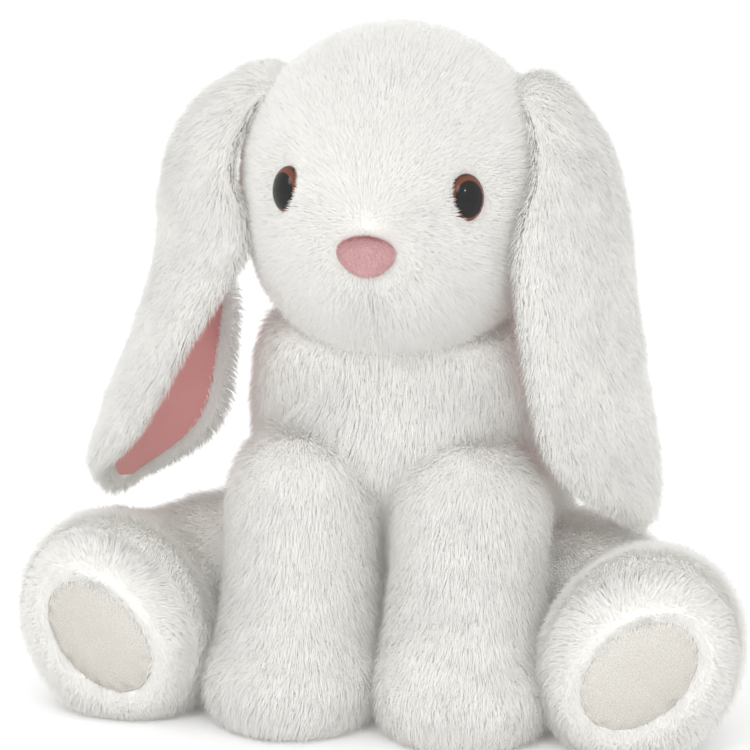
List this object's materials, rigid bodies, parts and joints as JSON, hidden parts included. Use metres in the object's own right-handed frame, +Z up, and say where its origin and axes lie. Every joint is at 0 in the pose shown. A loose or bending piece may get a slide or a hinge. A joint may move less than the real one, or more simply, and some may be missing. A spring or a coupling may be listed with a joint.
{
  "type": "stuffed bunny rabbit",
  "caption": "Sitting plush rabbit with long floppy lined ears, straight front legs, splayed padded hind feet, dome eyes and a fabric nose; head, ears and legs move.",
  "frame": {"origin": "on the ground at the middle of the bounding box", "axes": "+Z up, the rabbit faces -Y, its own left side is +X"},
  "size_m": [0.2784, 0.1892, 0.27],
  "materials": {
    "white_plush": "long soft white pile",
    "pink_lining": "short-pile pink fabric",
    "nose_velour": "short-pile pink velour",
    "pad_velour": "short-pile cream velour",
    "fibre_stuffing": "loose polyester fibre",
    "pouch_cloth": "plain woven cloth filled with pellets",
    "label_ribbon": "smooth blank ribbon",
    "eye_plastic": "polished, black pupil with a brown iris",
    "washer_plastic": "plain moulded"
  },
  "bodies": {
    "body": {"body_skin": "white_plush", "body_stuffing": "fibre_stuffing", "bean_pouch": "pouch_cloth", "tail_skin": "white_plush", "tail_stuffing": "fibre_stuffing", "care_label": "label_ribbon"},
    "head": {"head_skin": "white_plush", "head_stuffing": "fibre_stuffing", "nose": "nose_velour", "eye_left": "eye_plastic", "eye_right": "eye_plastic", "eye_washer_left": "washer_plastic", "eye_washer_right": "washer_plastic"},
    "ear_left": {"ear_left_plush": "white_plush", "ear_left_lining": "pink_lining"},
    "ear_right": {"ear_right_plush": "white_plush", "ear_right_lining": "pink_lining"},
    "front_leg_left": {"front_leg_left_skin": "white_plush", "front_leg_left_stuffing": "fibre_stuffing"},
    "front_leg_right": {"front_leg_right_skin": "white_plush", "front_leg_right_stuffing": "fibre_stuffing"},
    "hind_leg_left": {"hind_leg_left_skin": "white_plush", "hind_leg_left_stuffing": "fibre_stuffing", "foot_pad_left": "pad_velour"},
    "hind_leg_right": {"hind_leg_right_skin": "white_plush", "hind_leg_right_stuffing": "fibre_stuffing", "foot_pad_right": "pad_velour"}
  },
  "joints": [
    {"name": "head_turn", "type": "hinge", "parent": "body", "child": "head", "pos_m": [0, -0.02438, 0.158], "axis": [0, 0, 1], "range_deg": [-12, 12]},
    {"name": "ear_left_lift", "type": "hinge", "parent": "head", "child": "ear_left", "pos_m": [0.044, -0.02038, 0.24964], "axis": [0, -1, 0], "range_deg": [0, 80]},
    {"name": "ear_right_lift", "type": "hinge", "parent": "head", "child": "ear_right", "pos_m": [-0.044, -0.02038, 0.24964], "axis": [0, 1, 0], "range_deg": [0, 80]},
    {"name": "front_leg_left_swing", "type": "hinge", "parent": "body", "child": "front_leg_left", "pos_m": [0.034, -0.04538, 0.086], "axis": [-1, 0, 0], "range_deg": [0, 75]},
    {"name": "front_leg_right_swing", "type": "hinge", "parent": "body", "child": "front_leg_right", "pos_m": [-0.034, -0.04538, 0.086], "axis": [-1, 0, 0], "range_deg": [0, 75]},
    {"name": "hind_leg_left_splay", "type": "hinge", "parent": "body", "child": "hind_leg_left", "pos_m": [0.056, 0.00662, 0.03587], "axis": [0, 0, 1], "range_deg": [0, 35]},
    {"name": "hind_leg_right_splay", "type": "hinge", "parent": "body", "child": "hind_leg_right", "pos_m": [-0.056, 0.00662, 0.03587], "axis": [0, 0, -1], "range_deg": [0, 35]}
  ]
}
